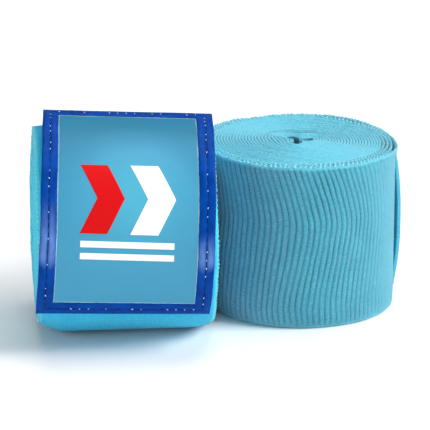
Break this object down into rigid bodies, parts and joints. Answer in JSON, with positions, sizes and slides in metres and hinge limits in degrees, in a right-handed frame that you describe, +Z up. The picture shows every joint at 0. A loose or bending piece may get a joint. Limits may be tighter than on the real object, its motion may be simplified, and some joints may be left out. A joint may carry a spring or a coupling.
{
  "type": "hand wrap",
  "caption": "Pair of elastic boxing hand wraps rolled for storage, each held by a curved hook-and-loop closure with a bound label.",
  "frame": {"origin": "middle of the pair's footprint on the ground, at the lowest point", "axes": "+Z up along the standing roll's axis, +X from the lying roll to the standing roll along the lying roll's axis, -Y the side the lying roll's label faces"},
  "size_m": [0.115, 0.0852, 0.0665],
  "materials": {
    "band_knit": "matt elastic knit",
    "loop_pile": "brushed pile",
    "closure_cloth": "matt woven cloth",
    "hook_tape": "moulded hooks",
    "label_face": "matt printed film",
    "mark_red": "raised print",
    "mark_white": "raised print",
    "satin_blue": "satin weave",
    "thread_blue": "sewing thread",
    "thread_turquoise": "sewing thread"
  },
  "bodies": {
    "lying_roll": {"lying_band": "band_knit", "lying_thumb_loop": "band_knit", "lying_thumb_loop_stitches": "thread_turquoise", "lying_loop_panel": "loop_pile", "lying_loop_panel_stitches": "thread_turquoise"},
    "lying_closure": {"lying_closure_backing": "closure_cloth", "lying_hook_panel": "hook_tape", "lying_hook_panel_stitches": "thread_turquoise", "lying_label_face": "label_face", "lying_label_mark_red": "mark_red", "lying_label_mark_white": "mark_white", "lying_binding_left": "satin_blue", "lying_binding_right": "satin_blue", "lying_binding_free": "satin_blue", "lying_binding_root": "satin_blue", "lying_binding_stitches": "thread_blue"},
    "standing_roll": {"standing_band": "band_knit", "standing_thumb_loop": "band_knit", "standing_thumb_loop_stitches": "thread_turquoise", "standing_loop_panel": "loop_pile", "standing_loop_panel_stitches": "thread_turquoise"},
    "standing_closure": {"standing_closure_backing": "closure_cloth", "standing_hook_panel": "hook_tape", "standing_hook_panel_stitches": "thread_turquoise", "standing_label_face": "label_face", "standing_label_mark_red": "mark_red", "standing_label_mark_white": "mark_white", "standing_binding_left": "satin_blue", "standing_binding_right": "satin_blue", "standing_binding_free": "satin_blue", "standing_binding_root": "satin_blue", "standing_binding_stitches": "thread_blue"}
  },
  "joints": [
    {"name": "lying_closure_peel", "type": "hinge", "parent": "lying_roll", "child": "lying_closure", "pos_m": [-0.05753, -0.03593, 0.01336], "axis": [1, 0, 0], "range_deg": [0, 95]},
    {"name": "standing_roll_slide", "type": "slide", "parent": "lying_roll", "child": "standing_roll", "axis": [1, 0, 0], "range_m": [0, 0.1]},
    {"name": "standing_closure_peel", "type": "hinge", "parent": "standing_roll", "child": "standing_closure", "pos_m": [0.00028, 0.03024, 0], "axis": [0, 0, 1], "range_deg": [0, 120]}
  ]
}
